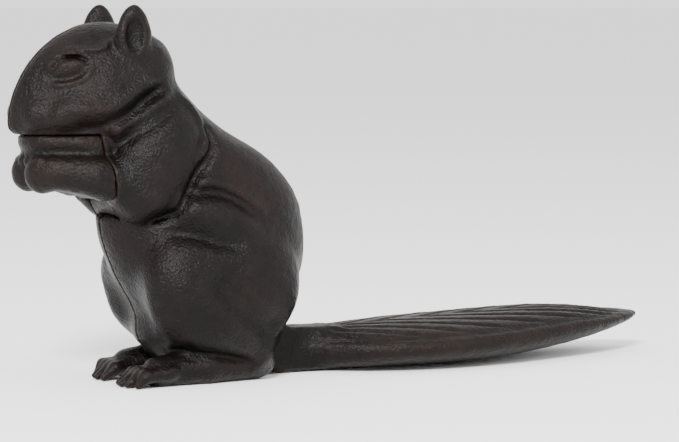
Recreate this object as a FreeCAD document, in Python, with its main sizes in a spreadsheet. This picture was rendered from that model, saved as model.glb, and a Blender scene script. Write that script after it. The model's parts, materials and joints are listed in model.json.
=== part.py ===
import FreeCAD, Part
import Sketcher
import math
import os

# Cast-iron squirrel nutcracker, in millimetres.
#
# Frame: the squirrel looks along -X, its tail points along +X, its left side is -Y and its right side
# is +Y, and it stands on Z = 0. The origin is under the middle of the whole object's bounding box.
#
# The body is two half castings that meet on the plane Y = 0 and are held by three screws. The tail
# lever is one casting: leaf, root, shank, pivot barrel, forearms, hands and lower jaw. It turns on a
# pin at the elbows. Lifting the tail drops the hands and jaw; pressing the tail down closes them.

DIMENSIONS = {
    # whole figure
    "figure_height": 95.0,
    "muzzle_front": -92.3,
    "tail_tip": 92.4,
    # pivot of the lever, at the elbows
    "pivot_x": -60.0,
    "pivot_z": 48.0,
    "lift_angle": 30.0,
    "pin_radius": 2.5,
    "pin_play": 0.05,
    "pin_half_length": 15.0,
    "socket_half_length": 15.3,
    "pin_chamfer": 0.5,
    # barrel of the lever and the walls around it
    "barrel_radius": 8.5,
    "barrel_half_width": 11.1,
    "barrel_side_play": 0.3,
    "elbow_radius": 10.0,
    "seam": 0.4,
    # mouth: the seam's corner under the cheek, and the cups that hold the nut
    "mouth_corner_x": -72.5,
    "mouth_z": 63.0,
    "neck_angle": 135.0,
    "hand_neck_angle": 138.0,
    "chest_angle": 185.0,
    "seat_angle": 217.0,
    "seat_radius": 18.0,
    "cup_x": -80.0,
    "cup_radius": 9.0,
    "cup_depth": 4.5,
    # shank of the lever and its slot in the body
    "shank_half_height": 5.75,
    "shank_half_width": 4.6,
    "shank_angle": -46.6,
    "shank_length": 50.9,
    "slot_play": 0.6,
    "slot_upper_length": 66.0,
    "slot_lower_length": 81.0,
    "root_crest_run": 4.0,
    "root_crest_z": 12.5,
    "root_top_z": 11.5,
    "root_rear_x": -2.0,
    "root_rear_z": 0.7,
    "root_front_x": -22.8,
    "tail_floor_gap": 0.3,
    # skull, muzzle, cheek and ear
    "skull_x": -70.0,
    "skull_z": 78.0,
    "skull_half_length": 17.5,
    "skull_half_width": 14.5,
    "skull_half_height": 14.3,
    "muzzle_z": 70.0,
    "muzzle_half_length": 10.8,
    "muzzle_half_width": 9.5,
    "muzzle_half_height": 8.5,
    "upper_jaw_x": -79.6,
    "upper_jaw_z": 67.0,
    "upper_jaw_half_length": 12.3,
    "upper_jaw_half_width": 11.6,
    "upper_jaw_half_height": 8.5,
    "cheek_x": -69.5,
    "cheek_y": 6.5,
    "cheek_z": 70.8,
    "cheek_half_length": 12.5,
    "cheek_half_width": 8.0,
    "cheek_half_height": 8.2,
    "ear_x": -63.6,
    "ear_y": 10.5,
    "ear_half_length": 4.6,
    "ear_half_width": 2.6,
    "ear_half_height": 6.4,
    # upper arm
    "arm_x": -56.5,
    "arm_y": 10.2,
    "arm_z": 55.5,
    "arm_half_length": 9.6,
    "arm_half_width": 8.3,
    "arm_half_height": 16.0,
    "arm_tilt": 20.0,
    # haunch, lower leg and foot
    "haunch_x": -39.8,
    "haunch_y": 13.0,
    "haunch_z": 22.5,
    "haunch_half_length": 21.5,
    "haunch_half_width": 9.5,
    "haunch_half_height": 17.0,
    "shin_x": -42.0,
    "shin_y": 15.5,
    "shin_z": 15.5,
    "shin_half_length": 17.0,
    "shin_half_width": 5.6,
    "shin_tilt": 36.0,
    "foot_x": -47.0,
    "foot_y": 10.8,
    "foot_z": 2.4,
    "foot_half_length": 20.5,
    "foot_half_width": 6.2,
    "foot_half_height": 5.2,
    # screws
    "screw_radius": 2.5,
    "screw_head_radius": 4.2,
    "screw_head_height": 3.2,
    "screw_slot_width": 1.2,
    "screw_slot_depth": 1.3,
    "screw_clearance": 0.25,
    "screw_chamfer": 0.6,
    "drill_overrun": 1.0,
    "head_screw_x": -67.0,
    "head_screw_z": 74.0,
    "head_screw_seat": 8.0,
    "head_screw_length": 16.0,
    "back_screw_x": -44.0,
    "back_screw_z": 57.5,
    "back_screw_seat": 8.0,
    "back_screw_length": 16.0,
    "leg_screw_x": -48.0,
    "leg_screw_z": 14.0,
    "leg_screw_seat": 13.0,
    "leg_screw_length": 24.0,
}

# Cross-sections of the trunk, low to high: height, belly X, back X, half width.
TRUNK_SECTIONS = [
    (1.2, -49.0, -22.0, 11.0),
    (8.0, -57.0, -18.6, 15.0),
    (18.0, -60.8, -17.8, 16.5),
    (28.0, -62.6, -15.4, 17.0),
    (38.0, -64.6, -14.0, 17.0),
    (48.0, -67.0, -17.2, 16.5),
    (57.0, -69.0, -25.6, 15.0),
    (64.4, -71.0, -36.0, 13.5),
    (70.0, -72.0, -42.5, 12.0),
]

# Cross-sections of the tail's leaf, root to tip: X, half width, underside Z, ridge Z.
LEAF_SECTIONS = [
    (-11.0, 6.2, 0.3, 11.3),
    (1.0, 13.0, 0.3, 11.7),
    (16.0, 19.2, 0.3, 12.2),
    (33.0, 20.4, 0.5, 12.7),
    (51.0, 16.7, 2.0, 13.4),
    (63.0, 12.3, 3.6, 13.5),
    (72.0, 8.9, 5.1, 12.9),
    (82.0, 5.2, 7.3, 11.9),
    (89.0, 2.4, 8.9, 10.9),
    (92.4, 0.9, 9.5, 10.4),
]

# Cross-sections of the hands, forearms and lower jaw, front to elbow: X, half width, low Z, high Z.
HAND_SECTIONS = [
    (-90.0, 4.6, 52.6, 61.6),
    (-86.5, 8.8, 49.4, 66.0),
    (-79.0, 11.2, 49.0, 68.0),
    (-72.0, 12.2, 46.8, 66.0),
    (-64.0, 11.0, 41.4, 56.4),
]

doc = FreeCAD.newDocument("Nutcracker")


def make_sheet():
    """Puts the driving dimensions in a spreadsheet, one alias to a row."""
    table = doc.addObject("Spreadsheet::Sheet", "Sheet")
    rows = dict(DIMENSIONS)
    for prefix, sections in (("trunk", TRUNK_SECTIONS), ("leaf", LEAF_SECTIONS), ("hand", HAND_SECTIONS)):
        for index, values in enumerate(sections):
            for part, value in zip("abcd", values):
                rows[f"{prefix}_{part}_{index}x"] = value
    for row, (alias, value) in enumerate(rows.items(), start=1):
        table.set(f"A{row}", alias)
        table.set(f"B{row}", str(value))
        table.setAlias(f"B{row}", alias)
    doc.recompute()
    return table


sheet = make_sheet()


def named(text):
    """Turns {alias} marks into references to the spreadsheet."""
    return text.replace("{", "Sheet.").replace("}", "")


def bind(item, **expressions):
    """Binds properties of an object to expressions; position and turn are written x, y, z, angle."""
    paths = {
        "x": "Placement.Base.x",
        "y": "Placement.Base.y",
        "z": "Placement.Base.z",
        "angle": "Placement.Rotation.Angle",
    }
    for key, text in expressions.items():
        item.setExpression(paths.get(key, key), named(text))
    return item


def ellipsoid(name, x, y, z, half_length, half_width, half_height, tilt="0"):
    """Ellipsoid with its axes along X, Y and Z, tilted about Y."""
    item = doc.addObject("Part::Ellipsoid", name)
    item.Angle1 = -90
    item.Placement.Rotation = FreeCAD.Rotation(FreeCAD.Vector(0, 1, 0), 1)
    bind(item, Radius1=half_height, Radius2=half_length, Radius3=half_width)
    return bind(item, x=x, y=y, z=z, angle=tilt)


def ball(name, x, y, z, radius):
    item = doc.addObject("Part::Sphere", name)
    return bind(item, Radius=radius, x=x, y=y, z=z)


def cross_cylinder(name, x, z, radius, low_y, high_y):
    """Cylinder along Y between two values of Y."""
    item = doc.addObject("Part::Cylinder", name)
    item.Placement.Rotation = FreeCAD.Rotation(FreeCAD.Vector(1, 0, 0), -90)
    bind(item, Radius=radius, Height=f"({high_y}) - ({low_y})")
    return bind(item, x=x, y=low_y, z=z)


def side_prism(name, points, half_width):
    """Solid between -half_width and +half_width in Y over a closed outline in the XZ plane."""
    sketch = doc.addObject("Sketcher::SketchObject", name + "_outline")
    sketch.Placement.Rotation = FreeCAD.Rotation(FreeCAD.Vector(1, 0, 0), 90)
    count = len(points)
    turns = [math.tau * index / count for index in range(count)]
    rough = [FreeCAD.Vector(math.cos(turn), math.sin(turn), 0) for turn in turns]
    for index in range(count):
        sketch.addGeometry(Part.LineSegment(rough[index], rough[(index + 1) % count]), False)
    for index in range(count):
        sketch.addConstraint(Sketcher.Constraint("Coincident", index, 2, (index + 1) % count, 1))
    for index, (x_text, z_text) in enumerate(points):
        for kind, text in (("DistanceX", x_text), ("DistanceY", z_text)):
            number = sketch.addConstraint(Sketcher.Constraint(kind, -1, 1, index, 1, 1.0))
            sketch.setExpression(f"Constraints[{number}]", named(text))
    item = doc.addObject("Part::Extrusion", name)
    item.Base = sketch
    item.DirMode = "Custom"
    item.Dir = FreeCAD.Vector(0, 1, 0)
    item.Solid = True
    return bind(item, LengthFwd=half_width, LengthRev=half_width)


def group(name, members):
    """Fusion of tools that are cut away together."""
    item = doc.addObject("Part::MultiFuse", name)
    item.Shapes = members
    return item


def joined(name, members):
    """Fusion of overlapping forms, one after the other, which keeps their curved faces sound."""
    whole = members[0]
    for index, member in enumerate(members[1:], start=1):
        item = doc.addObject("Part::Fuse", f"{name}_{index}")
        item.Base = whole
        item.Tool = member
        whole = item
    return whole


def common(name, base, tool):
    item = doc.addObject("Part::Common", name)
    item.Base = base
    item.Tool = tool
    return item


def cut(name, base, tool):
    item = doc.addObject("Part::Cut", name)
    item.Base = base
    item.Tool = tool
    return item


def trunk():
    """Belly, chest and back: a loft through level ellipses."""
    rings = []
    for index in range(len(TRUNK_SECTIONS)):
        z, front, back, half = (f"{{trunk_{part}_{index}x}}" for part in "abcd")
        ring = doc.addObject("Part::Ellipse", f"trunk_ring_{index}")
        bind(ring, MajorRadius=f"({back} - {front}) / 2", MinorRadius=half)
        rings.append(bind(ring, x=f"({front} + {back}) / 2", z=z))
    loft = doc.addObject("Part::Loft", "trunk")
    loft.Sections = rings
    loft.Solid = True
    return loft


def upright_loft(name, prefix, count):
    """Loft along X through upright ellipses that are wider than they are high."""
    rings = []
    for index in range(count):
        x, half, low, high = (f"{{{prefix}_{part}_{index}x}}" for part in "abcd")
        ring = doc.addObject("Part::Ellipse", f"{name}_ring_{index}")
        ring.Placement.Rotation = FreeCAD.Rotation(
            FreeCAD.Vector(0, 1, 0), FreeCAD.Vector(0, 0, 1), FreeCAD.Vector(1, 0, 0), "ZXY"
        )
        bind(ring, MajorRadius=half, MinorRadius=f"({high} - {low}) / 2")
        rings.append(bind(ring, x=x, z=f"({low} + {high}) / 2"))
    loft = doc.addObject("Part::Loft", name)
    loft.Sections = rings
    loft.Solid = True
    return loft


def left_outside():
    """Outer form of the left half, each part of it cut off at the mid-plane and the floor."""
    muzzle_x = "{muzzle_front} + {muzzle_half_length}"
    forms = [
        trunk(),
        ellipsoid("skull", "{skull_x}", "0", "{skull_z}",
                  "{skull_half_length}", "{skull_half_width}", "{skull_half_height}"),
        ellipsoid("muzzle", muzzle_x, "0", "{muzzle_z}",
                  "{muzzle_half_length}", "{muzzle_half_width}", "{muzzle_half_height}"),
        ellipsoid("upper_jaw", "{upper_jaw_x}", "0", "{upper_jaw_z}",
                  "{upper_jaw_half_length}", "{upper_jaw_half_width}", "{upper_jaw_half_height}"),
        ellipsoid("cheek", "{cheek_x}", "-{cheek_y}", "{cheek_z}",
                  "{cheek_half_length}", "{cheek_half_width}", "{cheek_half_height}"),
        ellipsoid("ear", "{ear_x}", "-{ear_y}", "{figure_height} - {ear_half_height}",
                  "{ear_half_length}", "{ear_half_width}", "{ear_half_height}"),
        ellipsoid("arm", "{arm_x}", "-{arm_y}", "{arm_z}",
                  "{arm_half_length}", "{arm_half_width}", "{arm_half_height}", "{arm_tilt}"),
        ellipsoid("haunch", "{haunch_x}", "-{haunch_y}", "{haunch_z}",
                  "{haunch_half_length}", "{haunch_half_width}", "{haunch_half_height}"),
        ellipsoid("shin", "{shin_x}", "-{shin_y}", "{shin_z}",
                  "{shin_half_length}", "{shin_half_width}", "{shin_half_width}", "{shin_tilt}"),
        ellipsoid("foot", "{foot_x}", "-{foot_y}", "{foot_z}",
                  "{foot_half_length}", "{foot_half_width}", "{foot_half_height}"),
    ]
    space = left_space()
    return joined("left_form", [common(f"left_{form.Name}", form, space) for form in forms])


def left_space():
    """The space on the left side of the mid-plane, above the floor."""
    item = doc.addObject("Part::Box", "left_space")
    bind(item, Length="{tail_tip} - {muzzle_front}", Width="{figure_height}", Height="{figure_height}")
    return bind(item, x="{muzzle_front}", y="-{figure_height}")


def on_radius(radius, angle):
    """Point at a radius and an angle from the pivot, both given as text."""
    return (
        f"{{pivot_x}} + ({radius}) * cos(({angle}) * 1deg)",
        f"{{pivot_z}} + ({radius}) * sin(({angle}) * 1deg)",
    )


def beside_shank(along, side, angle):
    """Point beside the shank's centre line: its distance along it and to the side, as text."""
    turn = f"({angle}) * 1deg"
    return (
        f"{{pivot_x}} + ({along}) * cos({turn}) - ({side}) * sin({turn})",
        f"{{pivot_z}} + ({along}) * sin({turn}) + ({side}) * cos({turn})",
    )


def front_room():
    """Room in front of the neck and under the mouth, where the hands and jaw swing down."""
    wall = "{barrel_radius} + {seam} / 2"
    seat_x, seat_z = on_radius("{seat_radius}", "{seat_angle}")
    roof_z = "{mouth_z} + {seam} / 2"
    points = [
        ("2 * {muzzle_front}", roof_z),
        ("{mouth_corner_x} + {seam} / 2", roof_z),
        on_radius(wall, "{neck_angle}"),
        ("{pivot_x}", "{pivot_z}"),
        on_radius(wall, "{seat_angle}"),
        (seat_x, seat_z),
        ("2 * {muzzle_front}", seat_z),
    ]
    return side_prism("front_room", points, "{figure_height}")


def elbow_cover():
    """Outer wall over the barrel's end, kept out of the room in front of it."""
    outer = "{barrel_half_width} + {barrel_side_play}"
    return cross_cylinder("elbow_cover", "{pivot_x}", "{pivot_z}", "{elbow_radius}",
                          "-{figure_height}", f"-({outer})")


def lever_slot():
    """Slot in the body that the shank sweeps through, from tail down to tail lifted."""
    side = "{shank_half_height} + {slot_play}"
    lifted = "{shank_angle} + {lift_angle}"
    points = [
        beside_shank("0", side, lifted),
        beside_shank("{slot_upper_length}", side, lifted),
        beside_shank("{slot_lower_length}", f"-({side})", "{shank_angle}"),
        beside_shank("0", f"-({side})", "{shank_angle}"),
    ]
    return side_prism("lever_slot", points, "{shank_half_width} + {slot_play}")


def left_blank():
    """Left half casting without its screw holes."""
    half = left_outside()
    room = cut("swing_room", front_room(), elbow_cover())
    barrel_room = cross_cylinder(
        "barrel_room", "{pivot_x}", "{pivot_z}", "{barrel_radius} + {seam}",
        "-({barrel_half_width} + {barrel_side_play})", "{barrel_half_width}")
    socket = cross_cylinder("pin_socket", "{pivot_x}", "{pivot_z}", "{pin_radius}",
                            "-{socket_half_length}", "0")
    palate = ball("palate", "{cup_x}", "0", "{mouth_z} - {cup_radius} + {cup_depth}", "{cup_radius}")
    hollows = group("left_hollows", [room, barrel_room, lever_slot(), socket, palate])
    return cut("left_blank", half, hollows)


SCREWS = ("head_screw", "back_screw", "leg_screw")


def body_left(blank):
    """Near half: the blank with three tapped holes."""
    holes = []
    for screw in SCREWS:
        end = f"{{{screw}_seat}} - {{{screw}_length}}"
        holes.append(cross_cylinder(f"{screw}_thread", f"{{{screw}_x}}", f"{{{screw}_z}}",
                                    "{screw_radius}", f"{end} - {{drill_overrun}}", "0"))
    return cut("body_left", blank, group("left_holes", holes))


def body_right(blank):
    """Far half: the mirrored blank with three counterbored clearance holes."""
    mirror = doc.addObject("Part::Mirroring", "right_blank")
    mirror.Source = blank
    mirror.Normal = FreeCAD.Vector(0, 1, 0)
    holes = []
    for screw in SCREWS:
        place = (f"{{{screw}_x}}", f"{{{screw}_z}}")
        seat = f"{{{screw}_seat}}"
        holes.append(cross_cylinder(f"{screw}_hole", *place, "{screw_radius} + {screw_clearance}",
                                    "-{drill_overrun}", seat))
        holes.append(cross_cylinder(f"{screw}_bore", *place, "{screw_head_radius} + {screw_clearance}",
                                    seat, "{figure_height}"))
    return cut("body_right", mirror, group("right_holes", holes))


def tail_lever():
    """The lever: leaf, root and shank, barrel, and the hands with the lower jaw."""
    side = "{shank_half_height}"
    root_x, root_z = beside_shank("{shank_length}", side, "{shank_angle}")
    shank_points = [
        beside_shank("0", side, "{shank_angle}"),
        (root_x, root_z),
        (f"{root_x} + {{root_crest_run}}", "{root_crest_z}"),
        ("{root_rear_x}", "{root_top_z}"),
        ("{root_rear_x}", "{root_rear_z}"),
        ("{root_front_x}", "{tail_floor_gap}"),
        beside_shank("0", f"-({side})", "{shank_angle}"),
    ]
    shank = side_prism("shank", shank_points, "{shank_half_width}")
    barrel = cross_cylinder("barrel", "{pivot_x}", "{pivot_z}", "{barrel_radius}",
                            "-{barrel_half_width}", "{barrel_half_width}")
    leaf = upright_loft("leaf", "leaf", len(LEAF_SECTIONS))
    hands = upright_loft("hands", "hand", len(HAND_SECTIONS))

    # What the hands stay clear of: the muzzle and neck above, the chest below, the elbow covers beside.
    wall = "{barrel_radius} + {seam} / 2"
    limits = side_prism("hand_limits", [
        ("2 * {muzzle_front}", "{mouth_z} - {seam} / 2"),
        ("{mouth_corner_x} - {seam} / 2", "{mouth_z} - {seam} / 2"),
        on_radius(wall, "{hand_neck_angle}"),
        ("{pivot_x}", "{pivot_z}"),
        on_radius("{figure_height}", "{chest_angle}"),
        on_radius("2 * {figure_height}", "{seat_angle}"),
        ("{tail_tip}", "{pivot_z} - {figure_height}"),
        ("{tail_tip}", "{figure_height}"),
        ("2 * {muzzle_front}", "{figure_height}"),
    ], "{figure_height}")
    covers = []
    for name, low, high in (("left", "-{figure_height}", "-{barrel_half_width}"),
                            ("right", "{barrel_half_width}", "{figure_height}")):
        covers.append(cross_cylinder(f"{name}_cover_room", "{pivot_x}", "{pivot_z}",
                                     "{elbow_radius} + {seam}", low, high))
    cup = ball("cup", "{cup_x}", "0", "{mouth_z} + {cup_radius} - {cup_depth}", "{cup_radius}")
    clear = group("hand_clearances", [limits, *covers, cup])
    front = cut("clear_hands", hands, clear)

    casting = joined("lever_blank", [front, barrel, shank, leaf])
    bore = cross_cylinder("lever_bore", "{pivot_x}", "{pivot_z}", "{pin_radius} + {pin_play}",
                          "-{figure_height}", "{figure_height}")
    return cut("tail_lever", casting, bore)


def turned_body(name, x, y, z, profile):
    """PartDesign body turned about its own Z, which lies along -Y of the squirrel."""
    body = doc.addObject("PartDesign::Body", name)
    planes = {item.Role: item for item in body.Origin.OriginFeatures}
    sketch = body.newObject("Sketcher::SketchObject", name + "_profile")
    sketch.AttachmentSupport = (planes["XZ_Plane"], [""])
    sketch.MapMode = "FlatFace"
    count = len(profile)
    turns = [math.tau * index / count for index in range(count)]
    rough = [FreeCAD.Vector(math.cos(turn) + 1, math.sin(turn), 0) for turn in turns]
    for index in range(count):
        sketch.addGeometry(Part.LineSegment(rough[index], rough[(index + 1) % count]), False)
    for index in range(count):
        sketch.addConstraint(Sketcher.Constraint("Coincident", index, 2, (index + 1) % count, 1))
    for index, (radius, height) in enumerate(profile):
        for kind, text in (("DistanceX", radius), ("DistanceY", height)):
            number = sketch.addConstraint(Sketcher.Constraint(kind, -1, 1, index, 1, 1.0))
            sketch.setExpression(f"Constraints[{number}]", named(text))
    doc.recompute()
    turned = body.newObject("PartDesign::Revolution", name + "_turned")
    turned.Profile = sketch
    turned.ReferenceAxis = (planes["Z_Axis"], [""])
    turned.Angle = 360
    body.Placement.Rotation = FreeCAD.Rotation(FreeCAD.Vector(1, 0, 0), 90)
    bind(body, x=x, y=y, z=z)
    return body, planes


def pivot_pin():
    """Steel pin with chamfered ends."""
    tip = "{pin_radius} - {pin_chamfer}"
    profile = [
        ("0", "-{pin_half_length}"),
        (tip, "-{pin_half_length}"),
        ("{pin_radius}", "{pin_chamfer} - {pin_half_length}"),
        ("{pin_radius}", "{pin_half_length} - {pin_chamfer}"),
        (tip, "{pin_half_length}"),
        ("0", "{pin_half_length}"),
    ]
    return turned_body("pivot_pin", "{pivot_x}", "0", "{pivot_z}", profile)[0]


def slotted_screw(name):
    """Cheese-head screw with a driver slot; its head seats in the right half's counterbore."""
    length = f"{{{name}_length}}"
    profile = [
        ("0", "-{screw_head_height}"),
        ("{screw_head_radius} - {screw_chamfer}", "-{screw_head_height}"),
        ("{screw_head_radius}", "{screw_chamfer} - {screw_head_height}"),
        ("{screw_head_radius}", "0"),
        ("{screw_radius}", "0"),
        ("{screw_radius}", f"{length} - {{screw_chamfer}}"),
        ("{screw_radius} - {screw_chamfer}", length),
        ("0", length),
    ]
    body, planes = turned_body(name, f"{{{name}_x}}", f"{{{name}_seat}}", f"{{{name}_z}}", profile)
    doc.recompute()
    whole = body.Shape.Volume
    slot = body.newObject("Sketcher::SketchObject", name + "_slot_outline")
    slot.AttachmentSupport = (planes["YZ_Plane"], [""])
    slot.MapMode = "FlatFace"
    corners = [(-1, -1), (1, -1), (1, 1), (-1, 1)]
    for index in range(4):
        start = FreeCAD.Vector(*corners[index], 0)
        end = FreeCAD.Vector(*corners[(index + 1) % 4], 0)
        slot.addGeometry(Part.LineSegment(start, end), False)
    for index in range(4):
        slot.addConstraint(Sketcher.Constraint("Coincident", index, 2, (index + 1) % 4, 1))
    low = "-{screw_head_height} - {drill_overrun}"
    high = "{screw_slot_depth} - {screw_head_height}"
    half = "{screw_slot_width} / 2"
    for index, (across, up) in enumerate([(f"-{half}", low), (half, low), (half, high), (f"-{half}", high)]):
        for kind, text in (("DistanceX", across), ("DistanceY", up)):
            number = slot.addConstraint(Sketcher.Constraint(kind, -1, 1, index, 1, 1.0))
            slot.setExpression(f"Constraints[{number}]", named(text))
    doc.recompute()
    pocket = body.newObject("PartDesign::Pocket", name + "_slot")
    pocket.Profile = slot
    pocket.Type = "Length"
    pocket.SideType = "Symmetric"
    bind(pocket, Length="4 * {screw_head_radius}")
    doc.recompute()
    if not body.Shape.Volume < whole - 1:
        raise RuntimeError(f"{name}: the driver slot cut nothing")
    return body


def main():
    blank = left_blank()
    pieces = [body_left(blank), body_right(blank), tail_lever(), pivot_pin()]
    pieces += [slotted_screw(name) for name in SCREWS]
    doc.recompute()
    for item in doc.Objects:
        if "Invalid" in item.State or "Error" in item.State:
            raise RuntimeError(f"{item.Name}: {item.State}")
    os.makedirs("parts", exist_ok=True)
    for piece in pieces:
        piece.Label = piece.Name
        shape = piece.Shape
        if shape.isNull() or not shape.isValid() or len(shape.Solids) != 1:
            raise RuntimeError(f"{piece.Label}: bad shape with {len(shape.Solids)} solids")
        shape.exportStep(f"parts/{piece.Label}.step")
        box = shape.BoundBox
        print(f"{piece.Label}: {shape.Volume / 1000:.2f} cm3, X {box.XMin:.1f}..{box.XMax:.1f}, "
              f"Y {box.YMin:.1f}..{box.YMax:.1f}, Z {box.ZMin:.1f}..{box.ZMax:.1f}")


main()
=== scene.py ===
import json
import math
import bpy
import numpy as np
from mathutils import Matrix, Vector


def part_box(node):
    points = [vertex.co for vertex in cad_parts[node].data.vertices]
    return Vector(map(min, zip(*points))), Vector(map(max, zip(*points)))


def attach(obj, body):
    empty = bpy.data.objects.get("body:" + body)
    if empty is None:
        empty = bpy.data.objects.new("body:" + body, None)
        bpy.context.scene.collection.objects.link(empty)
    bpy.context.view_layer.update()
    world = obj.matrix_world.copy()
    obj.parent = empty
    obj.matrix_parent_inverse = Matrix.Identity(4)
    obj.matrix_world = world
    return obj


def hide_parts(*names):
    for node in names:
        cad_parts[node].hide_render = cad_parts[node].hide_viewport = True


# Cast-iron squirrel nutcracker: looks.
#
# The castings are sculpted as signed distance fields, in millimetres, and turned into meshes. The
# sculpting coordinates are (x, s, z): x runs from the muzzle to the tail and is PIVOT_X at the pivot,
# s is the distance from the mid-plane and z is the height above the floor.

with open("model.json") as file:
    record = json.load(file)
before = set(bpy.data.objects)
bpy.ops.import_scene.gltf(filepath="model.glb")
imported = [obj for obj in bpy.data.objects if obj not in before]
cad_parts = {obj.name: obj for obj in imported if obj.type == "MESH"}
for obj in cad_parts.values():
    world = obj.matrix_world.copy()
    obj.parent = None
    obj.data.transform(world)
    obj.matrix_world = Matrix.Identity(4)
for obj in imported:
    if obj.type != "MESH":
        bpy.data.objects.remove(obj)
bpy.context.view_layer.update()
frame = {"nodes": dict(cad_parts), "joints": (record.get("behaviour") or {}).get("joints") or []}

MM = 0.001
VOXEL = 0.5
PIVOT = [value / MM for value in frame["joints"][0]["pos_m"]]
LIFT = math.radians(frame["joints"][0]["range_deg"][1])
PIVOT_X, PIVOT_Z = -27.0, PIVOT[2]
TO_FRAME_X = PIVOT[0] - PIVOT_X
SEAM = 0.2
MOUTH_Z = 63.0


# ---------------------------------------------------------------- distance fields

def smooth_min(a, b, k):
    """Union of two fields, blended over about k mm."""
    h = np.clip(0.5 + 0.5 * (b - a) / k, 0, 1)
    return b * (1 - h) + a * h - k * h * (1 - h)


def smooth_max(a, b, k):
    return -smooth_min(-a, -b, k)


def ellipsoid(p, centre, radii, tilt=0.0, yaw=0.0):
    """Tilt turns the long axis up at the back; yaw turns it outwards at the back. Both in degrees."""
    x, s, z = p[0] - centre[0], p[1] - centre[1], p[2] - centre[2]
    if yaw:
        c, w = math.cos(math.radians(yaw)), math.sin(math.radians(yaw))
        x, s = c * x + w * s, c * s - w * x
    if tilt:
        c, w = math.cos(math.radians(tilt)), math.sin(math.radians(tilt))
        x, z = c * x + w * z, c * z - w * x
    a, b, c = radii
    k0 = np.sqrt((x / a) ** 2 + (s / b) ** 2 + (z / c) ** 2) + 1e-9
    k1 = np.sqrt((x / a**2) ** 2 + (s / b**2) ** 2 + (z / c**2) ** 2) + 1e-9
    return k0 * (k0 - 1) / k1


def limb(p, points, flat=1.0):
    """Rounded limb through (x, s, z, radius) points. Flat above 1 makes it wider across the figure."""
    best = None
    for start, end in zip(points, points[1:]):
        a, b = np.array(start[:3], float), np.array(end[:3], float)
        scale = np.array([1, 1 / flat, 1])
        step = (b - a) * scale
        rel = [(p[i] - a[i]) * scale[i] for i in range(3)]
        t = np.clip(sum(rel[i] * step[i] for i in range(3)) / (step @ step), 0, 1)
        gap = np.sqrt(sum((rel[i] - t * step[i]) ** 2 for i in range(3)))
        d = gap - (start[3] + (end[3] - start[3]) * t)
        best = d if best is None else smooth_min(best, d, 1.0)
    return best


def curve(points):
    """Smooth line through a few (x, z) points, as a list of points."""
    steps = 8
    pts = [np.array(q, float) for q in points]
    pts = [2 * pts[0] - pts[1], *pts, 2 * pts[-1] - pts[-2]]
    line = []
    for i in range(1, len(pts) - 2):
        for t in np.arange(steps) / steps:
            a, b, c, d = pts[i - 1:i + 3]
            line.append(0.5 * (2 * b + (c - a) * t + (2 * a - 5 * b + 4 * c - d) * t**2
                               + (3 * b - a - 3 * c + d) * t**3))
    return [*line, pts[-2]]


def side_gap(x, z, points):
    """Distance in side view from a smooth line, and how far along it (0 to 1) the nearest point is."""
    line = curve(points)
    shape = np.broadcast(x, z).shape
    gap, along = np.full(shape, 1e3), np.zeros(shape)
    for index, (a, b) in enumerate(zip(line, line[1:])):
        step = b - a
        t = np.clip(((x - a[0]) * step[0] + (z - a[1]) * step[1]) / (step @ step), 0, 1)
        d = np.hypot(x - a[0] - t * step[0], z - a[1] - t * step[1])
        along = np.where(d < gap, (index + t) / (len(line) - 1), along)
        gap = np.minimum(gap, d)
    return gap, along


def stroke(x, z, points, width, height, fade=0.15):
    """Height of a ridge drawn in side view, fading at both ends."""
    gap, along = side_gap(x, z, points)
    ends = np.clip(np.minimum(along, 1 - along) / fade, 0.0, 1)
    return height * ends * np.exp(-((gap / width) ** 2))


def polygon(x, z, corners):
    """Signed distance in side view to a closed outline."""
    gap = np.full(np.broadcast(x, z).shape, 1e6)
    inside = np.zeros(gap.shape, bool)
    for a, b in zip(corners, [*corners[1:], corners[0]]):
        ex, ez = b[0] - a[0], b[1] - a[1]
        t = np.clip(((x - a[0]) * ex + (z - a[1]) * ez) / (ex * ex + ez * ez), 0, 1)
        gap = np.minimum(gap, np.hypot(x - a[0] - t * ex, z - a[1] - t * ez))
        crosses = (a[1] > z) != (b[1] > z)
        inside ^= crosses & (x < ex * (z - a[1]) / (ez or 1e-9) + a[0])
    return np.where(inside, -gap, gap)


def profile(at, stations, values):
    """Smooth value between stations, flat at the ends."""
    at = np.clip(at, stations[0], stations[-1])
    slopes = np.gradient(np.array(values, float), np.array(stations, float))
    i = np.clip(np.searchsorted(stations, at, side="right") - 1, 0, len(stations) - 2)
    st, va = np.array(stations, float), np.array(values, float)
    h = st[i + 1] - st[i]
    t = (at - st[i]) / h
    return ((1 + 2 * t) * (1 - t) ** 2 * va[i] + t * (1 - t) ** 2 * h * slopes[i]
            + t * t * (3 - 2 * t) * va[i + 1] + t * t * (t - 1) * h * slopes[i + 1])


# ---------------------------------------------------------------- meshing

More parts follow.
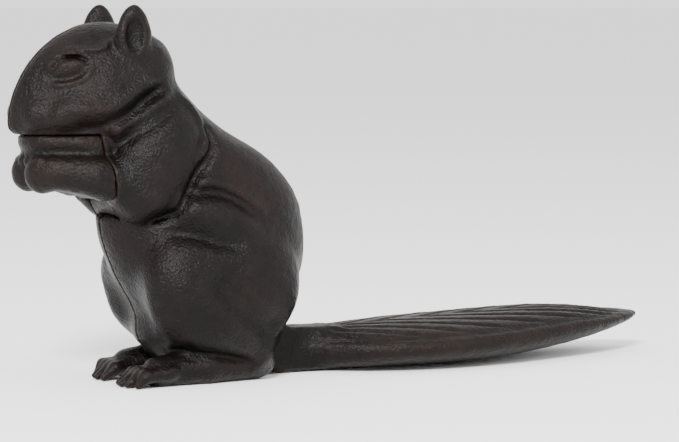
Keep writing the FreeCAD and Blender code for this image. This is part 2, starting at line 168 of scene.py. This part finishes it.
def surface(field, origin, step):
    """Surface nets: one vertex in each cell that the surface crosses, one quad round each crossed edge."""
    inside = field < 0
    count = tuple(n - 1 for n in field.shape)
    total, crossings = np.zeros((*count, 3)), np.zeros(count)
    for axis in range(3):
        other = [i for i in range(3) if i != axis]
        for da in (0, 1):
            for db in (0, 1):
                low, high = [slice(0, -1)] * 3, [slice(0, -1)] * 3
                for which, offset in zip(other, (da, db)):
                    low[which] = high[which] = slice(offset, offset + count[which])
                high[axis] = slice(1, None)
                f0, f1 = field[tuple(low)], field[tuple(high)]
                crossed = (f0 < 0) != (f1 < 0)
                t = np.where(crossed, f0 / np.where(f0 == f1, 1, f0 - f1), 0)
                total[..., axis] += np.where(crossed, t, 0)
                total[..., other[0]] += crossed * da
                total[..., other[1]] += crossed * db
                crossings += crossed
    active = crossings > 0
    cells = np.argwhere(active)
    number = np.full(count, -1)
    number[active] = np.arange(len(cells))
    points = cells + total[active] / crossings[active][:, None]
    quads = []
    for axis in range(3):
        a, b = (axis + 1) % 3, (axis + 2) % 3
        low, high = [slice(None)] * 3, [slice(None)] * 3
        low[axis], high[axis] = slice(0, -1), slice(1, None)
        f0, f1 = inside[tuple(low)], inside[tuple(high)]
        edge = np.argwhere(f0 != f1)
        edge = edge[(edge[:, a] > 0) & (edge[:, b] > 0) & (edge[:, a] < count[a]) & (edge[:, b] < count[b])]
        ring = []
        for da, db in ((1, 1), (0, 1), (0, 0), (1, 0)):
            cell = edge.copy()
            cell[:, a] -= da
            cell[:, b] -= db
            ring.append(number[tuple(cell.T)])
        quad = np.stack(ring, 1)
        leaving = f0[tuple(edge.T)]
        quads.append(np.where(leaving[:, None], quad, quad[:, ::-1]))
    return points * step + origin, np.concatenate(quads)


def mesh_object(name, points, quads, material):
    """Blender object from points in the frame's axes, in millimetres."""
    mesh = bpy.data.meshes.new(name)
    mesh.vertices.add(len(points))
    mesh.vertices.foreach_set("co", (points * MM).astype(np.float32).ravel())
    mesh.loops.add(quads.size)
    mesh.loops.foreach_set("vertex_index", quads.astype(np.int32).ravel())
    mesh.polygons.add(len(quads))
    mesh.polygons.foreach_set("loop_start", np.arange(0, quads.size, 4, dtype=np.int32))
    mesh.update(calc_edges=True)
    mesh.validate()
    mesh.shade_smooth()
    mesh.materials.append(material)
    piece = bpy.data.objects.new(name, mesh)
    bpy.context.scene.collection.objects.link(piece)
    return piece


def grid(low, high):
    """Coordinate arrays over a box, and its origin."""
    axes = [np.arange(a, b + VOXEL, VOXEL) for a, b in zip(low, high)]
    return np.meshgrid(*axes, indexing="ij", sparse=True), np.array(low)


def noise(p, size, seed):
    """Smooth bumps of about one size, the same every run: a few waves with seeded directions."""
    random = np.random.default_rng(seed)
    waves = 24
    total = 0
    for _ in range(waves):
        way = random.normal(size=3)
        way *= 2 * math.pi / (size * random.uniform(0.7, 1.5)) / np.linalg.norm(way)
        total += np.sin(way[0] * p[0] + way[1] * p[1] + way[2] * p[2] + random.uniform(0, 6.28))
    return total / math.sqrt(waves)


SKIN_COARSE_DEPTH, SKIN_COARSE_SIZE = 0.035, 3.4
SKIN_FINE_DEPTH, SKIN_FINE_SIZE = 0.025, 1.7


def cast_skin(f, p, seed):
    """Field with the shallow unevenness of a sand casting added, in two sizes."""
    return (f - SKIN_COARSE_DEPTH * noise(p, SKIN_COARSE_SIZE, seed)
            - SKIN_FINE_DEPTH * noise(p, SKIN_FINE_SIZE, seed + 1))


# ---------------------------------------------------------------- rooms shared by the castings

def at_pivot(radius, degrees):
    """Point in side view at a radius and an angle from the pivot."""
    turn = math.radians(degrees)
    return (PIVOT_X + radius * math.cos(turn), PIVOT_Z + radius * math.sin(turn))


def beside_shank(along, side, degrees):
    """Point in side view beside the shank's centre line, for a shank at an angle."""
    turn = math.radians(degrees)
    return (PIVOT_X + along * math.cos(turn) - side * math.sin(turn),
            PIVOT_Z + along * math.sin(turn) + side * math.cos(turn))


BARREL_RADIUS, BARREL_HALF, ELBOW_RADIUS = 8.5, 7.0, 10.0
NECK_ANGLE, SEAT_ANGLE, CHEST_ANGLE = 137, 217, 185
NECK_CLEARANCE = 3
SEAT_RADIUS = ELBOW_RADIUS + 8
CUFF_FRONT, CUFF_ANGLE = (-37.9, 55), 188
SEAM_BLEND = 0.12
MOUTH_CORNER_X = -39.5
SHANK_HALF_HEIGHT, SHANK_HALF_WIDTH, SHANK_ANGLE, SHANK_LENGTH = 5.75, 4.6, -46.6, 50.9
SLOT_PLAY = 0.6
SLOT_UPPER_LENGTH, SLOT_LOWER_LENGTH = SHANK_LENGTH * 1.3, SHANK_LENGTH * 1.6
BORE_RADIUS, TAIL_FLOOR_GAP = 2.6, 0.32
CUP_X, CUP_RADIUS, CUP_DEPTH = -46.0, 8.0, 3.2
CUP_RIB_HEIGHT, CUP_RIB_PITCH = 0.3, 2.4
FAR = 150.0


def pivot_radius(p):
    """Distance in side view from the pivot."""
    return np.hypot(p[0] - PIVOT_X, p[2] - PIVOT_Z)


def jaw_seam(gap):
    """Seam from the corner of the mouth to the barrel, moved back by gap; the lever's side stands clear."""
    return [(MOUTH_CORNER_X + gap, MOUTH_Z + gap),
            at_pivot(BARREL_RADIUS, NECK_ANGLE if gap > 0 else NECK_ANGLE + NECK_CLEARANCE)]


def sleeve(p, gap):
    """Body wall outside the barrel: round below the elbow, and straight from there up to the mouth."""
    x, s, z = p
    cuff = polygon(x, z, [(MOUTH_CORNER_X, FAR), (MOUTH_CORNER_X, MOUTH_Z), CUFF_FRONT,
                          at_pivot(ELBOW_RADIUS, CUFF_ANGLE), (PIVOT_X, PIVOT_Z), (PIVOT_X, FAR)])
    wall = np.minimum(pivot_radius(p) - ELBOW_RADIUS, cuff)
    return np.maximum(wall - gap, BARREL_HALF + SEAM - gap - s)


def cup(p, side):
    """Bowl that holds the nut: side 1 is hollowed downwards into the jaw, -1 upwards into the muzzle."""
    rise = MOUTH_Z + side * (CUP_RADIUS - CUP_DEPTH)
    ribs = CUP_RIB_HEIGHT * np.cos(2 * math.pi * p[0] / CUP_RIB_PITCH)
    return np.sqrt((p[0] - CUP_X) ** 2 + p[1] ** 2 + (p[2] - rise) ** 2) - CUP_RADIUS + ribs


def lever_room(p):
    """Everything inside the body halves that is kept free for the lever."""
    x, s, z = p
    wall = BARREL_RADIUS + SEAM / 2
    seat = at_pivot(SEAT_RADIUS, SEAT_ANGLE)
    roof = MOUTH_Z + SEAM / 2
    front = polygon(x, z, [(-FAR, roof), *jaw_seam(SEAM / 2), (PIVOT_X, PIVOT_Z),
                           at_pivot(wall, SEAT_ANGLE), seat, (-FAR, seat[1])])
    front = np.maximum(front, -sleeve(p, 0))
    barrel = np.maximum(pivot_radius(p) - BARREL_RADIUS - SEAM, s - BARREL_HALF - SEAM)
    side = SHANK_HALF_HEIGHT + SLOT_PLAY
    lifted = SHANK_ANGLE + math.degrees(LIFT)
    slot = polygon(x, z, [beside_shank(0, side, lifted), beside_shank(SLOT_UPPER_LENGTH, side, lifted),
                          beside_shank(SLOT_LOWER_LENGTH, -side, SHANK_ANGLE),
                          beside_shank(0, -side, SHANK_ANGLE)])
    slot = np.maximum(slot, s - SHANK_HALF_WIDTH - SLOT_PLAY)
    return np.minimum(np.minimum(front, barrel), np.minimum(slot, cup(p, -1)))


# ---------------------------------------------------------------- body halves

TRUNK_Z = [0, 4, 9, 18, 28, 38, 48, 57, 64, 72, 80]
TRUNK_BACK = [6, 10.5, 13.6, 15.2, 19.6, 20.2, 17.2, 8.6, -3.2, -12.5, -17.5]
TRUNK_BELLY = [-4, -15, -23.5, -26.2, -31.6, -35.2, -35.6, -35.5, -38, -40, -42]
TRUNK_HALF = [8, 11, 14, 17, 18, 17.5, 16.5, 15, 13.5, 12, 10]


def trunk(p):
    """Belly, chest and back, level ellipses stacked up to the neck."""
    x, s, z = p
    back, belly = profile(z, TRUNK_Z, TRUNK_BACK), profile(z, TRUNK_Z, TRUNK_BELLY)
    half = profile(z, TRUNK_Z, TRUNK_HALF)
    a, u = (back - belly) / 2, x - (back + belly) / 2
    r = np.sqrt((u / a) ** 2 + (s / half) ** 2) + 1e-9
    slope = np.sqrt((u / a**2) ** 2 + (s / half**2) ** 2) / r + 1e-9
    return smooth_max((r - 1) / slope, z - 74, 6)


def eyeball(p):
    """Almond eye, set in its lids."""
    return ellipsoid(p, (-47.2, 7.6, 79.5), (4.9, 2.2, 2.7), tilt=12, yaw=28)


def head(p):
    """Skull and muzzle with its narrower front, nape, cheek, ear and eye."""
    x, s, z = p
    half = profile(x, [-60, -52, -44, -36, -26, -16], [7.0, 10.4, 12.6, 14.2, 14.2, 12.5])
    nape = smooth_min(ellipsoid(p, (-27.6, 2, 76.5), (10.2, 11.2, 12.0), tilt=-30),
                      ellipsoid(p, (-20.6, 1, 68), (9.6, 10.5, 8.0), tilt=-45), 4)
    skull = ellipsoid((x, s * 14.0 / half, z), (-39.3, 0, 69.7), (22.9, 14.0, 18.2), tilt=49)
    cheek = ellipsoid(p, (-40.5, 8.6, 70.0), (12.5, 5.6, 5.6), tilt=14)
    f = smooth_min(smooth_min(skull, cheek, 3), nape, 3)
    pad = ellipsoid(p, (-53.6, 4.2, 68.0), (4.3, 4.2, 4.4))
    f = smooth_min(f, pad, 2.5)
    f = smooth_max(f, 63.2 - z - 1.2 * np.maximum(x + 38, 0), 3.2)
    taper = 1 + np.clip((z - 88) / 7, 0, 1) * 0.25
    ear = ellipsoid(((x + 30.7) * taper, s, z), (0, 10.6, 87.4), (4.8, 2.6, 7.6), tilt=-3)
    ear = smooth_max(ear, -ellipsoid(p, (-31.2, 13.9, 87.4), (2.9, 2.9, 5.2)), 0.7)
    f = smooth_min(f, ear, 1.6)
    return smooth_min(f, eyeball(p), 0.35)


def head_lines(x, z):
    """Height of the folds drawn on the side of the head."""
    return (stroke(x, z, [(-52.4, 80.5), (-50.4, 83.4), (-45.6, 84.2), (-40, 84.2), (-35.5, 86.6)], 0.9, 1.35)
            + stroke(x, z, [(-53.2, 74.4), (-52.4, 78.6), (-49.4, 82.4), (-44.6, 83.0), (-41.0, 81.2)],
                     0.7, 0.8)
            + stroke(x, z, [(-52.8, 75.4), (-48.4, 75.6), (-44.2, 77.2), (-41.2, 80.6)], 0.7, 0.75)
            + stroke(x, z, [(-51.4, 77.8), (-48.8, 81.5), (-44.4, 82.0), (-42.0, 80.8)], 0.5, -0.6)
            + stroke(x, z, [(-51.2, 77.0), (-47.6, 76.7), (-43.4, 78.6)], 0.5, -0.5)
            + stroke(x, z, [(-50, 69.8), (-39, 69.6), (-31, 74.2), (-26, 77.6)], 1.7, 0.9)
            + stroke(x, z, [(-50, 65.4), (-37, 66.2), (-28.5, 71.6), (-22.5, 75.6)], 1.7, -1.3)
            + stroke(x, z, [(-38.5, 63.6), (-33, 66.2), (-27.0, 69.8), (-20.0, 74.2)], 1.3, 1.0)
            + stroke(x, z, [(-36, 60.6), (-30.4, 63.4), (-24.4, 67.2), (-18.4, 71.6)], 1.2, -0.7))


def flank_lines(x, z):
    """Height of the folds drawn on the side of the trunk and leg."""
    return (stroke(x, z, [(-18.4, 74), (-13.8, 67.5), (-12.6, 60.5), (-15.5, 56)], 1.1, 1.0)
            + stroke(x, z, [(-12.5, 66), (-10.8, 60), (-16.0, 52.6), (-21.4, 43.8), (-29, 41.4)],
                     1.3, -1.5, 0.1)
            + stroke(x, z, [(-17, 50.2), (-13.4, 51.2), (-6.9, 49.4), (4, 42.4)], 1.6, 1.1)
            + stroke(x, z, [(-18, 47.0), (-13.4, 48.2), (-6.0, 46.3), (4.2, 38.6)], 1.8, -0.9)
            + stroke(x, z, [(-25.5, 38.8), (-17, 37.6), (-11.5, 35.9), (-4, 34.4)], 1.7, -0.9)
            + stroke(x, z, [(-14, 28.5), (-4, 19.6), (7, 12.5)], 4.2, -2.2)
            + stroke(x, z, [(-21, 11.2), (-15, 8.9), (-6, 6.8), (2, 4.6)], 1.4, -0.9))


def foot(p):
    """Long hind foot with four toes."""
    f = limb(p, [(4, 8.6, 4.6, 4.4), (-11, 9.4, 4.4, 4.7), (-24, 9.4, 3.5, 3.9)], flat=1.15)
    for number in range(4):
        spread = (number - 1.5) * 2.5
        reach = -34.2 + 0.5 * abs(number - 1) ** 2
        toe = limb(p, [(-22, 10.0 + spread * 0.85, 3.6, 1.9), (-29, 9.3 + spread, 3.0, 1.75),
                       (reach + 1.1, 8.9 + spread * 1.08, 0.9, 0.95)])
        f = smooth_min(f, toe, 0.8)
    return f


def hands(p):
    """Forearms, folded hands and lower jaw."""
    x, s, z = p
    forearm = limb(p, [(-31, 10.2, 50.0, 6.2), (-41, 9.9, 53.2, 5.3), (-50, 6.6, 54.2, 4.6)])
    palm = ellipsoid(p, (-52.5, 4.3, 53.6), (4.4, 4.2, 4.9))
    f = smooth_min(forearm, palm, 1.5)
    for number in range(3):
        across = 1.7 + 2.3 * number
        finger = limb(p, [(-53.8, across, 53.5, 1.6), (-54.6 + 0.5 * number, across, 56.4, 1.4),
                          (-52.6 + 0.7 * number, across * 0.95, 58.6, 1.1)])
        f = smooth_min(f, finger, 0.5)
    lip = ellipsoid(p, (-48.4, 0, 61.4), (8.0, 8.6, 4.8))
    jaw = smooth_min(ellipsoid(p, (-40.6, 0, 60.6), (13.2, 11.4, 6.4)), lip, 2)
    web = ellipsoid(p, (-37.5, 0, 55.0), (13, 11.6, 8.2), tilt=-32)
    f = smooth_min(f, smooth_min(jaw, web, 2), 2.4)
    folds = stroke(x, z, [(-57, 59.2), (-47, 58.9), (-38, 58.2), (-33, 58.6)], 1.4, -0.5)
    return f - folds * np.clip((s - 3) / 4, 0, 1)


def outside(p):
    """The closed figure as one form: trunk, head, arms, hands, legs and feet."""
    x, s, z = p
    f = smooth_min(trunk(p), head(p), 2.5)
    arm = ellipsoid(p, (-24.8, 10.0, 56.2), (15.8, 8.2, 11.0), tilt=62)
    f = smooth_min(f, arm, 2.0)
    f = smooth_min(f, ellipsoid(p, (-27.6, 9.6, 47.4), (7.2, 8.0, 6.0), tilt=20), 2.0)
    f = smooth_min(f, hands(p), 1.6)
    f = smooth_min(f, ellipsoid(p, (-10, 12.8, 42.6), (14, 6.6, 5.6), tilt=-14), 2.5)
    haunch = ellipsoid(p, (-7.4, 12.6, 22.8), (20.6, 9.4, 15.6), tilt=4)
    knee = ellipsoid(p, (-20.5, 13.2, 29.6), (6.8, 6.6, 8.4), tilt=-60)
    f = smooth_min(f, smooth_min(haunch, knee, 5), 5)
    shin = limb(p, [(-20, 15.2, 24.5, 4.6), (-9, 15.6, 16.4, 4.6), (2, 12.4, 7.4, 4.2)])
    f = smooth_min(f, shin, 3.5)
    f = smooth_min(f, foot(p), 2.0)
    on_side = np.clip((s - 4) / 5, 0, 1)
    on_head = (z > 60) * np.clip((s - 3.5) / 3, 0, 1) * np.clip((x + 55) / 3, 0, 1)
    f = f - on_side * (head_lines(x, z) * on_head + flank_lines(x, z))
    return cast_skin(f, p, seed=1)


def body_half(p):
    """One half casting: the outside, less the floor, the other half and the lever's room."""
    f = smooth_max(outside(p), 0.02 - p[2], 0.5)
    f = smooth_max(f, 0.02 - p[1], SEAM_BLEND)
    return smooth_max(f, -lever_room(p), SEAM_BLEND)


# ---------------------------------------------------------------- lever

LEAF_X = [17, 22, 34, 49, 66, 84, 96, 105, 115, 122, 125.2]
LEAF_HALF = [4.4, 6.4, 15.5, 20.8, 21.4, 18.8, 16.0, 13.2, 9.0, 4.8, 1.6]
LEAF_TOP = [11.0, 11.0, 11.5, 12.1, 12.6, 13.2, 13.3, 12.8, 11.7, 10.8, 10.3]
LEAF_LOW = [0.6, 0.4, 0.35, 0.35, 0.4, 1.5, 2.9, 4.3, 6.3, 8.0, 9.0]
HAIRS_ACROSS = 4.0
HAIR_LENGTH = 13.0


def leaf(p):
    """Tail: a domed leaf with hair grooves that fan out from the root, over a thick rounded rim."""
    x, s, z = p
    half = profile(x, LEAF_X, LEAF_HALF) + 1e-3
    top, low = profile(x, LEAF_X, LEAF_TOP), profile(x, LEAF_X, LEAF_LOW)
    h = (top - low) / 2
    dz = (z - (top + low) / 2) / h
    u = s / half
    r = (u**2.4 + np.abs(dz) ** 2.0 + 1e-9) ** (1 / 2.2)
    slope = np.sqrt((u / half) ** 2 + (dz / h) ** 2) / np.maximum(r, 0.2) + 1e-3
    f = (r - 1) / slope
    lane = u * HAIRS_ACROSS - (x - LEAF_X[0]) / HAIR_LENGTH
    across = np.abs(lane - np.round(lane)) * half / HAIRS_ACROSS
    strength = np.clip((0.86 - u) / 0.12, 0, 1) * np.clip((x - 24) / 8, 0, 1) * np.clip((121 - x) / 10, 0, 1)
    f = f + (dz > 0) * strength * np.clip(dz * 3, 0, 1) * 0.95 * np.exp(-((across / 0.75) ** 2))
    rim = np.exp(-(((u - 0.88) / 0.05) ** 2)) * (dz > 0) * np.clip((x - 20) / 6, 0, 1)
    f = f + 0.5 * rim * np.clip((118 - x) / 10, 0, 1)
    ends = np.maximum(LEAF_X[0] - x, x - LEAF_X[-1])
    return smooth_max(f, ends, 0.6)


def lever(p):
    """The whole tail lever: hands and jaw, barrel, shank, collar and leaf, with the pin's bore."""
    x, s, z = p
    roof = MOUTH_Z - SEAM / 2
    radius = pivot_radius(p)
    front = polygon(x, z, [(-FAR, roof), *jaw_seam(-SEAM / 2), (PIVOT_X, PIVOT_Z),
                           at_pivot(FAR, CHEST_ANGLE)])
    front = smooth_max(outside(p), front, SEAM_BLEND)
    front = smooth_max(front, -np.minimum(sleeve(p, SEAM), cup(p, 1)), SEAM_BLEND)
    barrel = smooth_max(radius - BARREL_RADIUS, s - BARREL_HALF, 0.6)
    side = SHANK_HALF_HEIGHT
    root_x, root_z = beside_shank(SHANK_LENGTH, side, SHANK_ANGLE)
    shank = polygon(x, z, [beside_shank(0, side, SHANK_ANGLE), (root_x, root_z), (root_x + 1.4, 13.4),
                           (root_x + 4.5, 12.0), (31, 11.4), (31, 0.8), (10.2, 0.4),
                           beside_shank(0, -side, SHANK_ANGLE)])
    shank = smooth_max(shank, s - SHANK_HALF_WIDTH, 1.6)
    collar = limb(p, [(17.6, 0, 4.6, 4.5), (17.9, 0, 7.6, 4.5)])
    f = smooth_min(front, barrel, 0.6)
    f = smooth_min(f, shank, 0.8)
    f = smooth_min(f, smooth_max(collar, 0.5 - z, 0.4), 0.6)
    f = smooth_min(f, leaf(p), 1.6)
    f = cast_skin(f, p, seed=3)
    f = smooth_max(f, TAIL_FLOOR_GAP - z, 0.5)
    return smooth_max(f, BORE_RADIUS - radius, 0.3)


# ---------------------------------------------------------------- materials

def shade(colour, factor):
    """Colour made darker or lighter."""
    return tuple(factor * channel for channel in colour)


def cast_iron(name, base, rubbed, rough):
    """Dark coated casting: pitted skin, faint brown where hands and use have rubbed it."""
    material = bpy.data.materials.new(name)
    material.use_nodes = True
    nodes, links = material.node_tree.nodes, material.node_tree.links
    shader = nodes["Principled BSDF"]
    shader.inputs["Metallic"].default_value = 0.0
    shader.inputs["IOR"].default_value = 1.5
    shader.inputs["Specular IOR Level"].default_value = 0.1
    place = nodes.new("ShaderNodeTexCoord")

    def pattern(kind, scale, **settings):
        node = nodes.new(kind)
        node.inputs["Scale"].default_value = scale
        for key, value in settings.items():
            node.inputs[key].default_value = value
        links.new(place.outputs["Object"], node.inputs["Vector"])
        return node

    def ramp(source, low, high, low_at, high_at):
        node = nodes.new("ShaderNodeValToRGB")
        for stop, at, colour in zip(node.color_ramp.elements, (low_at, high_at), (low, high)):
            stop.position = at
            stop.color = (*colour, 1)
        links.new(source, node.inputs["Fac"])
        return node.outputs["Color"]

    def mix(factor, a, b):
        node = nodes.new("ShaderNodeMix")
        node.data_type = "RGBA"
        links.new(factor, node.inputs["Factor"])
        links.new(a, node.inputs["A"])
        links.new(b, node.inputs["B"])
        return node.outputs["Result"]

    clouds = pattern("ShaderNodeTexNoise", 55, Detail=5.0, Roughness=0.6)
    streaks = pattern("ShaderNodeTexNoise", 420, Detail=4.0, Roughness=0.7)
    edges = nodes.new("ShaderNodeNewGeometry")
    wear = ramp(edges.outputs["Pointiness"], (0, 0, 0), (1, 1, 1), 0.5, 0.56)
    patches = ramp(clouds.outputs["Fac"], (0, 0, 0), (0.8, 0.8, 0.8), 0.46, 0.70)
    dark = ramp(streaks.outputs["Fac"], shade(base, 0.75), shade(base, 1.3), 0.3, 0.7)
    brown = ramp(streaks.outputs["Fac"], shade(rubbed, 0.7), shade(rubbed, 1.3), 0.3, 0.7)
    colour = mix(patches, dark, brown)
    colour = mix(wear, colour, brown)
    links.new(colour, shader.inputs["Base Color"])

    gloss = ramp(clouds.outputs["Fac"], (rough - 0.06,) * 3, (rough + 0.10,) * 3, 0.35, 0.65)
    links.new(gloss, shader.inputs["Roughness"])

    pits = pattern("ShaderNodeTexVoronoi", 1500, Randomness=1.0)
    peel = pattern("ShaderNodeTexNoise", 1500, Detail=3.0, Roughness=0.6)
    swell = pattern("ShaderNodeTexNoise", 420, Detail=2.0, Roughness=0.5)
    height = None
    for source, distance, strength in ((swell, 0.0005, 0.4), (peel, 0.00035, 0.85), (pits, 0.0002, 0.5)):
        bump = nodes.new("ShaderNodeBump")
        bump.inputs["Distance"].default_value = distance
        bump.inputs["Strength"].default_value = strength
        links.new(source.outputs["Fac"] if "Fac" in source.outputs else source.outputs["Distance"],
                  bump.inputs["Height"])
        if height is not None:
            links.new(height, bump.inputs["Normal"])
        height = bump.outputs["Normal"]
    links.new(height, shader.inputs["Normal"])
    return material


def steel(name, base, rough):
    """Turned steel with fine tool marks round its axis and a little staining."""
    material = bpy.data.materials.new(name)
    material.use_nodes = True
    nodes, links = material.node_tree.nodes, material.node_tree.links
    shader = nodes["Principled BSDF"]
    shader.inputs["Metallic"].default_value = 1.0
    place = nodes.new("ShaderNodeTexCoord")
    marks = nodes.new("ShaderNodeTexNoise")
    stretch = nodes.new("ShaderNodeMapping")
    stretch.inputs["Scale"].default_value = (300, 2500, 300)
    links.new(place.outputs["Object"], stretch.inputs["Vector"])
    links.new(stretch.outputs["Vector"], marks.inputs["Vector"])
    marks.inputs["Scale"].default_value = 1.0
    stain = nodes.new("ShaderNodeValToRGB")
    stain.color_ramp.elements[0].color = (*shade(base, 0.55), 1)
    stain.color_ramp.elements[1].color = (*shade(base, 1.2), 1)
    links.new(marks.outputs["Fac"], stain.inputs["Fac"])
    links.new(stain.outputs["Color"], shader.inputs["Base Color"])
    shine = nodes.new("ShaderNodeMapRange")
    shine.inputs["To Min"].default_value = rough - 0.08
    shine.inputs["To Max"].default_value = rough + 0.12
    links.new(marks.outputs["Fac"], shine.inputs["Value"])
    links.new(shine.outputs["Result"], shader.inputs["Roughness"])
    bump = nodes.new("ShaderNodeBump")
    bump.inputs["Distance"].default_value = 0.0001
    bump.inputs["Strength"].default_value = 0.4
    links.new(marks.outputs["Fac"], bump.inputs["Height"])
    links.new(bump.outputs["Normal"], shader.inputs["Normal"])
    return material


# ---------------------------------------------------------------- pieces

SCREWS = ("head_screw", "back_screw", "leg_screw")
SCREW_HEAD_HEIGHT, SCREW_CLEARANCE = 3.2, 0.25


def counterbores(x, y, z):
    """Rooms for the screw heads in the right half, read from the screws' own boxes."""
    field = np.full(np.broadcast(x, y, z).shape, 1e3)
    for screw in SCREWS:
        low, high = (corner / MM for corner in map(np.array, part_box(screw)))
        middle = (low + high) / 2
        radius = (high[0] - low[0]) / 2 + SCREW_CLEARANCE
        seat = high[1] - SCREW_HEAD_HEIGHT
        bore = np.maximum(np.hypot(x - middle[0], z - middle[2]) - radius, seat - y)
        field = np.minimum(field, bore)
    return field


def build_body(iron):
    """Both halves from one field; the right one is its mirror, with room for the screw heads."""
    p, origin = grid((-61.5, -0.6, -1.0), (19.5, 24.5, 97.0))
    field = body_half(p)
    for side, name in ((-1, "body_left_casting"), (1, "body_right_casting")):
        shape = field
        if side > 0:
            shape = smooth_max(field, -counterbores(p[0] + TO_FRAME_X, p[1], p[2]), 0.3)
        points, quads = surface(shape, origin, VOXEL)
        points[:, 0] += TO_FRAME_X
        points[:, 1] *= side
        if side < 0:
            quads = quads[:, ::-1]
        piece = mesh_object(name, points, quads, iron)
        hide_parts("body_left" if side < 0 else "body_right")
        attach(piece, "figure")


def build_lever(iron):
    """Both sides of the lever at once, because it is one casting."""
    (x, y, z), origin = grid((-61.0, -22.0, -1.0), (127.5, 22.0, 66.0))
    field = lever((x, np.abs(y), z))
    points, quads = surface(field, origin, VOXEL)
    points[:, 0] += TO_FRAME_X
    piece = mesh_object("tail_lever_casting", points, quads, iron)
    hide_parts("tail_lever")
    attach(piece, "lever")


build_body(cast_iron("cast_body_iron", (0.0022, 0.0017, 0.0016), (0.0080, 0.0044, 0.0033), 0.34))
build_lever(cast_iron("cast_lever_iron", (0.0023, 0.0018, 0.0016), (0.0090, 0.0050, 0.0036), 0.35))

BRIGHT = steel("pin_steel_finish", (0.42, 0.41, 0.40), 0.3)
BLACKENED = steel("screw_finish", (0.022, 0.019, 0.018), 0.42)
for node, finish in (("pivot_pin", BRIGHT), *((screw, BLACKENED) for screw in SCREWS)):
    slots = frame["nodes"][node].data.materials
    slots.clear()
    slots.append(finish)


# ---------------------------------------------------------------- stage, light and camera

def stage():
    """Wide pale floor."""
    floor_mesh = bpy.data.meshes.new("floor")
    reach = 60.0
    floor_mesh.from_pydata([(-reach, -reach, 0), (reach, -reach, 0), (reach, reach, 0), (-reach, reach, 0)],
                           [], [(0, 1, 2, 3)])
    floor = bpy.data.objects.new("floor", floor_mesh)
    bpy.context.scene.collection.objects.link(floor)
    pale = bpy.data.materials.new("pale_floor")
    pale.use_nodes = True
    pale.node_tree.nodes["Principled BSDF"].inputs["Base Color"].default_value = (0.9, 0.9, 0.9, 1)
    pale.node_tree.nodes["Principled BSDF"].inputs["Roughness"].default_value = 0.8
    floor_mesh.materials.append(pale)


def area_light(name, place, target, size, power):
    """Round soft light, aimed at a point."""
    light = bpy.data.lights.new(name, "AREA")
    light.shape, light.size, light.energy = "DISK", size, power
    lamp = bpy.data.objects.new(name, light)
    lamp.location = place
    lamp.rotation_euler = (Vector(target) - Vector(place)).to_track_quat("-Z", "Y").to_euler()
    bpy.context.scene.collection.objects.link(lamp)


# The camera was fitted to the photograph's outline. The lens and sensor are in millimetres, the place is
# in metres, the turn is in degrees and the aim is a slope to the right and a slope down.
LENS, SENSOR_WIDTH = 145.538, 36.0
CAMERA_PLACE, CAMERA_TURN = (-0.340, -0.629, 0.095), 26
AIM_RIGHT, AIM_DOWN = 0.041202, 0.079053


def camera():
    """Long lens at ear height, to the squirrel's left and front, aimed low and towards the tail."""
    data = bpy.data.cameras.new("camera")
    data.sensor_width, data.lens = SENSOR_WIDTH, LENS
    data.clip_start, data.clip_end = 0.05, 200
    view = bpy.data.objects.new("camera", data)
    view.location = CAMERA_PLACE
    turn = math.radians(CAMERA_TURN)
    right = Vector((math.cos(turn), -math.sin(turn), 0))
    ahead = Vector((math.sin(turn), math.cos(turn), 0))
    aim = ahead + AIM_RIGHT * right - Vector((0, 0, AIM_DOWN))
    view.rotation_euler = aim.to_track_quat("-Z", "Y").to_euler()
    bpy.context.scene.collection.objects.link(view)
    bpy.context.scene.camera = view


def sky():
    """Even white light from all round."""
    world = bpy.data.worlds.new("studio")
    world.use_nodes = True
    world.node_tree.nodes["Background"].inputs["Color"].default_value = (1, 1, 1, 1)
    world.node_tree.nodes["Background"].inputs["Strength"].default_value = 1.7
    bpy.context.scene.world = world


stage()
sky()
area_light("key", (-0.62, -0.80, 0.75), (-0.03, 0, 0.04), 0.30, 38)
area_light("fill", (0.55, -0.9, 0.6), (0.0, 0, 0.03), 0.7, 6)
camera()
